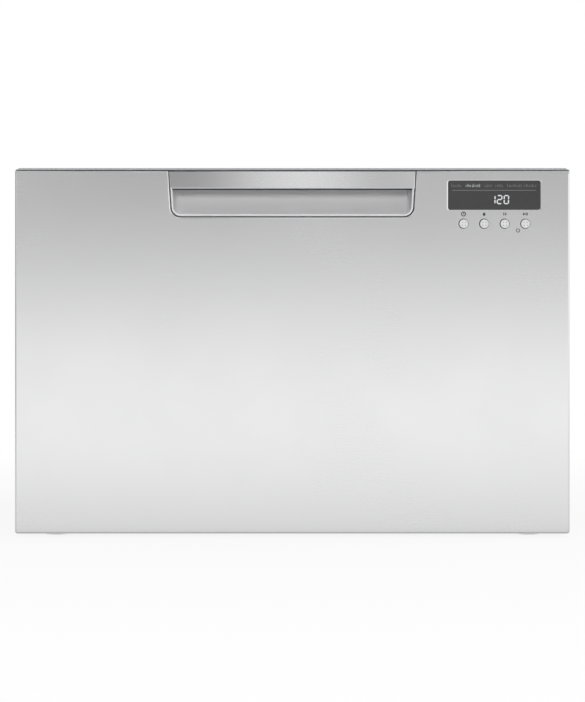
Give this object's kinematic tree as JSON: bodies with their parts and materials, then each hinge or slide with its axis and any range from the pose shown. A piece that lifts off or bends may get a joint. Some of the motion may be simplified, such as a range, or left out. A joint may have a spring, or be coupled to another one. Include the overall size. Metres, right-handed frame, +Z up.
{
  "type": "dishwasher drawer",
  "caption": "Built-in dishwasher drawer: steel chassis, telescopic runners, moulded tub behind a stainless front with pull bar and display, and a lid that drops to seal.",
  "frame": {"origin": "floor plane at the middle of the footprint, with the feet fully wound in", "axes": "+X to the right seen from the front, +Y from the front panel to the back, +Z up"},
  "size_m": [0.599, 0.573, 0.399],
  "materials": {
    "stainless": "satin stainless sheet, even fine vertical-free grain",
    "brushed_bar": "stainless brushed along its length",
    "galvanised": "zinc-coated sheet steel",
    "runner_steel": "bright zinc-plated rolled steel",
    "frame_grey": "moulded grey polypropylene",
    "tub_grey": "moulded light grey polypropylene, fine grain",
    "lid_grey": "moulded light grey polypropylene",
    "tray_black": "moulded black polypropylene",
    "rubber": "black elastomer",
    "window_dark": "smoked acrylic",
    "silver_plastic": "silver-white moulded plastic",
    "white_plastic": "white moulded plastic",
    "board_green": "solder-masked circuit board",
    "rack_coat": "steel wire with grey nylon coat",
    "basket_grey": "dark grey polypropylene",
    "hose_grey": "grey hose",
    "cap_blue": "blue moulded plastic",
    "filter_steel": "stainless sheet"
  },
  "bodies": {
    "chassis": {"chassis_side_left": "galvanised", "chassis_side_right": "galvanised", "chassis_top": "galvanised", "chassis_back": "galvanised", "base_tray": "tray_black", "runner_outer_left": "runner_steel", "runner_outer_right": "runner_steel", "lid_guide_left": "galvanised", "lid_guide_right": "galvanised", "lid_actuator_left": "white_plastic", "lid_actuator_right": "white_plastic", "inlet_valve": "white_plastic", "rear_drain_hose": "hose_grey"},
    "drawer": {"front_skin": "stainless", "door_frame": "frame_grey", "handle_scoop": "stainless", "handle_bar": "brushed_bar", "display_window": "window_dark", "display_carrier": "white_plastic", "display_board": "board_green", "controller_box": "tray_black", "tub": "tub_grey", "runner_inner_left": "runner_steel", "runner_inner_right": "runner_steel", "pump_housing": "white_plastic", "filter_plate": "filter_steel", "dispenser_body": "white_plastic", "fan_housing": "tray_black", "rack_left": "rack_coat", "rack_right": "rack_coat", "cutlery_basket": "basket_grey", "link_bracket": "basket_grey", "front_drain_hose": "hose_grey"},
    "lid": {"lid_panel": "lid_grey", "lid_seal": "rubber"},
    "wedge_left": {"lid_wedge_left": "white_plastic"},
    "wedge_right": {"lid_wedge_right": "white_plastic"},
    "runner_mid_left": {"runner_middle_left": "runner_steel"},
    "runner_mid_right": {"runner_middle_right": "runner_steel"},
    "rear_arm": {"link_rear_arm": "basket_grey"},
    "front_arm": {"link_front_arm": "basket_grey"},
    "button_1_body": {"button_1": "silver_plastic"},
    "button_2_body": {"button_2": "silver_plastic"},
    "button_3_body": {"button_3": "silver_plastic"},
    "button_4_body": {"button_4": "silver_plastic"},
    "spray": {"spray_arm": "basket_grey"},
    "impeller": {"pump_rotor": "tray_black"},
    "fan": {"fan_rotor": "white_plastic"},
    "soap_door": {"dispenser_door": "silver_plastic"},
    "rinse_cap": {"rinse_aid_cap": "cap_blue"},
    "round_filter": {"drain_filter": "basket_grey"},
    "tines_1": {"tine_row_1": "rack_coat"},
    "tines_2": {"tine_row_2": "rack_coat"},
    "shelf_left": {"cup_shelf_left": "rack_coat"},
    "shelf_right": {"cup_shelf_right": "rack_coat"},
    "foot_front_left_body": {"foot_front_left": "rubber"},
    "foot_front_right_body": {"foot_front_right": "rubber"},
    "foot_rear_left_body": {"foot_rear_left": "rubber"},
    "foot_rear_right_body": {"foot_rear_right": "rubber"}
  },
  "joints": [
    {"name": "drawer_slide", "type": "slide", "parent": "chassis", "child": "drawer", "axis": [0, -1, 0], "range_m": [0, 0.52]},
    {"name": "runner_left_slide", "type": "slide", "parent": "chassis", "child": "runner_mid_left", "axis": [0, -1, 0], "range_m": [0, 0.26]},
    {"name": "runner_right_slide", "type": "slide", "parent": "chassis", "child": "runner_mid_right", "axis": [0, -1, 0], "range_m": [0, 0.26]},
    {"name": "rear_arm_pivot", "type": "hinge", "parent": "chassis", "child": "rear_arm", "pos_m": [-0.2, 0.2245, 0.02], "axis": [0, 0, 1], "range_deg": [-42.7, 0]},
    {"name": "elbow_pivot", "type": "hinge", "parent": "rear_arm", "child": "front_arm", "pos_m": [0.19824, 0.187, 0.034], "axis": [0, 0, 1], "range_deg": [0, 85.4]},
    {"name": "lid_drop", "type": "slide", "parent": "chassis", "child": "lid", "axis": [0, 0, -1], "range_m": [0, 0.006]},
    {"name": "wedge_left_slide", "type": "slide", "parent": "chassis", "child": "wedge_left", "axis": [0, 1, 0], "range_m": [0, 0.02]},
    {"name": "wedge_right_slide", "type": "slide", "parent": "chassis", "child": "wedge_right", "axis": [0, 1, 0], "range_m": [0, 0.02]},
    {"name": "button_1_press", "type": "slide", "parent": "drawer", "child": "button_1_body", "axis": [0, 1, 0], "range_m": [0, 0.0012], "stiffness_N_per_m": 400},
    {"name": "button_2_press", "type": "slide", "parent": "drawer", "child": "button_2_body", "axis": [0, 1, 0], "range_m": [0, 0.0012], "stiffness_N_per_m": 400},
    {"name": "button_3_press", "type": "slide", "parent": "drawer", "child": "button_3_body", "axis": [0, 1, 0], "range_m": [0, 0.0012], "stiffness_N_per_m": 400},
    {"name": "button_4_press", "type": "slide", "parent": "drawer", "child": "button_4_body", "axis": [0, 1, 0], "range_m": [0, 0.0012], "stiffness_N_per_m": 400},
    {"name": "spray_spin", "type": "hinge", "parent": "drawer", "child": "spray", "pos_m": [0, -0.00975, 0.079], "axis": [0, 0, 1], "continuous": true},
    {"name": "pump_spin", "type": "hinge", "parent": "drawer", "child": "impeller", "pos_m": [0, -0.00975, 0.03], "axis": [0, 0, 1], "continuous": true},
    {"name": "fan_spin", "type": "hinge", "parent": "drawer", "child": "fan", "pos_m": [0.196, -0.25, 0.15416], "axis": [0, 1, 0], "continuous": true},
    {"name": "soap_door_hinge", "type": "hinge", "parent": "drawer", "child": "soap_door", "pos_m": [-0.031, -0.20793, 0.213], "axis": [-1, 0, 0], "range_deg": [0, 95]},
    {"name": "rinse_cap_twist", "type": "hinge", "parent": "drawer", "child": "rinse_cap", "pos_m": [0.044, -0.21073, 0.244], "axis": [0, 1, 0], "range_deg": [0, 90]},
    {"name": "filter_twist", "type": "hinge", "parent": "drawer", "child": "round_filter", "pos_m": [0, 0.04625, 0.06], "axis": [0, 0, 1], "range_deg": [0, 60]},
    {"name": "tines_1_fold", "type": "hinge", "parent": "drawer", "child": "tines_1", "pos_m": [-0.1784, -0.00975, 0.109], "axis": [0, 1, 0], "range_deg": [0, 90]},
    {"name": "tines_2_fold", "type": "hinge", "parent": "drawer", "child": "tines_2", "pos_m": [-0.094, -0.00975, 0.109], "axis": [0, 1, 0], "range_deg": [0, 90]},
    {"name": "shelf_left_fold", "type": "hinge", "parent": "drawer", "child": "shelf_left", "pos_m": [-0.2504, -0.00975, 0.25], "axis": [0, -1, 0], "range_deg": [0, 85]},
    {"name": "shelf_right_fold", "type": "hinge", "parent": "drawer", "child": "shelf_right", "pos_m": [0.2504, -0.00975, 0.25], "axis": [0, 1, 0], "range_deg": [0, 85]},
    {"name": "foot_front_left_height", "type": "slide", "parent": "chassis", "child": "foot_front_left_body", "axis": [0, 0, -1], "range_m": [0, 0.015]},
    {"name": "foot_front_right_height", "type": "slide", "parent": "chassis", "child": "foot_front_right_body", "axis": [0, 0, -1], "range_m": [0, 0.015]},
    {"name": "foot_rear_left_height", "type": "slide", "parent": "chassis", "child": "foot_rear_left_body", "axis": [0, 0, -1], "range_m": [0, 0.015]},
    {"name": "foot_rear_right_height", "type": "slide", "parent": "chassis", "child": "foot_rear_right_body", "axis": [0, 0, -1], "range_m": [0, 0.015]}
  ],
  "couplings": [
    {"joint": "runner_left_slide", "follows": "drawer_slide", "ratio": 0.5},
    {"joint": "runner_right_slide", "follows": "drawer_slide", "ratio": 0.5},
    {"joint": "rear_arm_pivot", "follows": "drawer_slide", "rad_per_m": -1.4325},
    {"joint": "elbow_pivot", "follows": "drawer_slide", "rad_per_m": 2.865},
    {"joint": "wedge_left_slide", "follows": "lid_drop", "ratio": 3.3333},
    {"joint": "wedge_right_slide", "follows": "lid_drop", "ratio": 3.3333}
  ]
}
